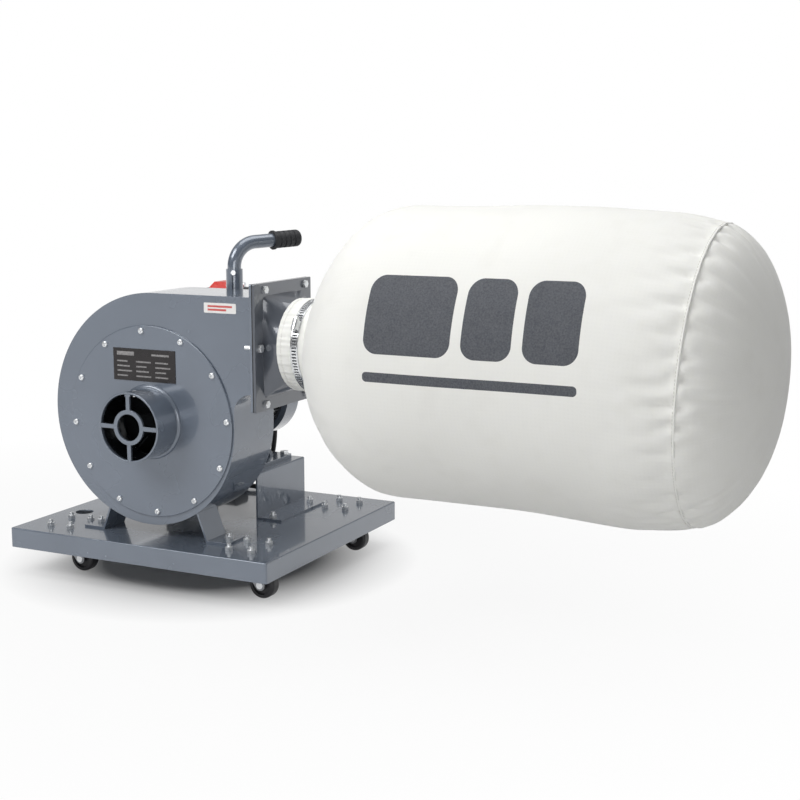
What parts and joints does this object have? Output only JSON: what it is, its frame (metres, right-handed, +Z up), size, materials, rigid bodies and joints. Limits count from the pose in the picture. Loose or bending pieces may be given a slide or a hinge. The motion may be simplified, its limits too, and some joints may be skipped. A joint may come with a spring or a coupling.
{
  "type": "dust collector",
  "caption": "Portable wheeled dust collector: a scroll blower with a round hose inlet and rear motor blows into a long white fabric bag clamped on its outlet.",
  "frame": {"origin": "on the shaft's axis, at the middle of the inlet pipe's seat for a hose", "axes": "+X along the outlet towards the bag, +Y from the inlet towards the motor, +Z up"},
  "size_m": [1.0915, 0.4858, 0.549],
  "materials": {
    "casing_grey": "glossy blue-grey powder coat",
    "hood_black": "satin black paint",
    "motor_black": "satin black paint on cast aluminium",
    "gasket_rubber": "matt black rubber",
    "zinc_steel": "bright zinc plate",
    "caster_zinc": "zinc plated pressed steel",
    "caster_black": "black moulded nylon",
    "machined_steel": "ground steel",
    "impeller_paint": "dark grey paint",
    "lamination_steel": "stacked laminations",
    "winding_copper": "varnished copper wire",
    "fan_plastic": "black moulding",
    "switch_black": "black moulding",
    "start_green": "green button",
    "stop_red": "red moulding",
    "lead_rubber": "black cable sheath",
    "grip_rubber": "ribbed black rubber",
    "bag_fabric": "off-white filter cloth",
    "band_steel": "bright worm-drive band",
    "plate_black": "black printed plate"
  },
  "bodies": {
    "machine": {"band_clamp": "band_steel", "base_tray": "casing_grey", "casing_foot_left": "casing_grey", "casing_foot_right": "casing_grey", "caster_plates": "caster_zinc", "cover_screws": "zinc_steel", "dust_bag": "bag_fabric", "fan_cover": "casing_grey", "flange_fasteners": "zinc_steel", "front_plate": "casing_grey", "guard_screw": "zinc_steel", "handle_socket": "casing_grey", "inlet_cover": "casing_grey", "inlet_guard": "casing_grey", "inlet_pipe": "casing_grey", "lock_screw": "zinc_steel", "motor_bearings": "machined_steel", "motor_bell_front": "motor_black", "motor_bell_rear": "motor_black", "motor_foot": "casing_grey", "motor_foot_fasteners": "zinc_steel", "motor_pedestal": "casing_grey", "motor_shell": "motor_black", "nameplate": "plate_black", "outlet_flange": "casing_grey", "outlet_gasket": "gasket_rubber", "paddle_hinge": "zinc_steel", "rear_plate": "casing_grey", "scroll_wrap": "casing_grey", "start_capacitor": "fan_plastic", "stator_core": "lamination_steel", "stator_windings": "winding_copper", "supply_lead": "lead_rubber", "switch_box": "switch_black", "terminal_box": "casing_grey", "tie_bolts": "zinc_steel", "transition_hood": "hood_black", "tray_fasteners": "zinc_steel"},
    "rotor": {"motor_shaft": "machined_steel", "rotor_core": "lamination_steel", "impeller": "impeller_paint", "impeller_bolt": "zinc_steel", "cooling_fan": "fan_plastic"},
    "handle": {"handle_tube": "casing_grey", "handle_grip": "grip_rubber"},
    "start_button": {"start_button": "start_green"},
    "stop_button": {"stop_button": "stop_red"},
    "stop_paddle": {"stop_paddle": "stop_red"},
    "swivel_front_left": {"caster_fork_front_left": "caster_zinc", "caster_axle_front_left": "zinc_steel"},
    "wheel_front_left": {"caster_wheel_front_left": "caster_black"},
    "swivel_front_right": {"caster_fork_front_right": "caster_zinc", "caster_axle_front_right": "zinc_steel"},
    "wheel_front_right": {"caster_wheel_front_right": "caster_black"},
    "swivel_rear_left": {"caster_fork_rear_left": "caster_zinc", "caster_axle_rear_left": "zinc_steel"},
    "wheel_rear_left": {"caster_wheel_rear_left": "caster_black"},
    "swivel_rear_right": {"caster_fork_rear_right": "caster_zinc", "caster_axle_rear_right": "zinc_steel"},
    "wheel_rear_right": {"caster_wheel_rear_right": "caster_black"}
  },
  "joints": [
    {"name": "impeller_spin", "type": "hinge", "parent": "machine", "child": "rotor", "pos_m": [0, 0, 0], "axis": [0, 1, 0], "continuous": true},
    {"name": "caster_swivel_front_left", "type": "hinge", "parent": "machine", "child": "swivel_front_left", "pos_m": [-0.156, 0.0375, -0.177], "axis": [0, 0, 1], "continuous": true},
    {"name": "wheel_spin_front_left", "type": "hinge", "parent": "swivel_front_left", "child": "wheel_front_left", "pos_m": [-0.132, 0.0375, -0.217], "axis": [0, 1, 0], "continuous": true},
    {"name": "caster_swivel_front_right", "type": "hinge", "parent": "machine", "child": "swivel_front_right", "pos_m": [0.156, 0.0375, -0.177], "axis": [0, 0, 1], "continuous": true},
    {"name": "wheel_spin_front_right", "type": "hinge", "parent": "swivel_front_right", "child": "wheel_front_right", "pos_m": [0.18, 0.0375, -0.217], "axis": [0, 1, 0], "continuous": true},
    {"name": "caster_swivel_rear_left", "type": "hinge", "parent": "machine", "child": "swivel_rear_left", "pos_m": [-0.156, 0.3135, -0.177], "axis": [0, 0, 1], "continuous": true},
    {"name": "wheel_spin_rear_left", "type": "hinge", "parent": "swivel_rear_left", "child": "wheel_rear_left", "pos_m": [-0.132, 0.3135, -0.217], "axis": [0, 1, 0], "continuous": true},
    {"name": "caster_swivel_rear_right", "type": "hinge", "parent": "machine", "child": "swivel_rear_right", "pos_m": [0.156, 0.3135, -0.177], "axis": [0, 0, 1], "continuous": true},
    {"name": "wheel_spin_rear_right", "type": "hinge", "parent": "swivel_rear_right", "child": "wheel_rear_right", "pos_m": [0.18, 0.3135, -0.217], "axis": [0, 1, 0], "continuous": true},
    {"name": "handle_swivel", "type": "hinge", "parent": "machine", "child": "handle", "pos_m": [0.07, 0.1477, 0.183], "axis": [0, 0, 1], "range_deg": [-150, 120]},
    {"name": "start_press", "type": "slide", "parent": "machine", "child": "start_button", "axis": [0, 0, -1], "range_m": [0, 0.003], "stiffness_N_per_m": 300},
    {"name": "stop_press", "type": "slide", "parent": "machine", "child": "stop_button", "axis": [0, 0, -1], "range_m": [0, 0.003], "stiffness_N_per_m": 300},
    {"name": "paddle_lift", "type": "hinge", "parent": "machine", "child": "stop_paddle", "pos_m": [0.001, 0.2585, 0.179], "axis": [-1, 0, 0], "range_deg": [0, 110]}
  ]
}
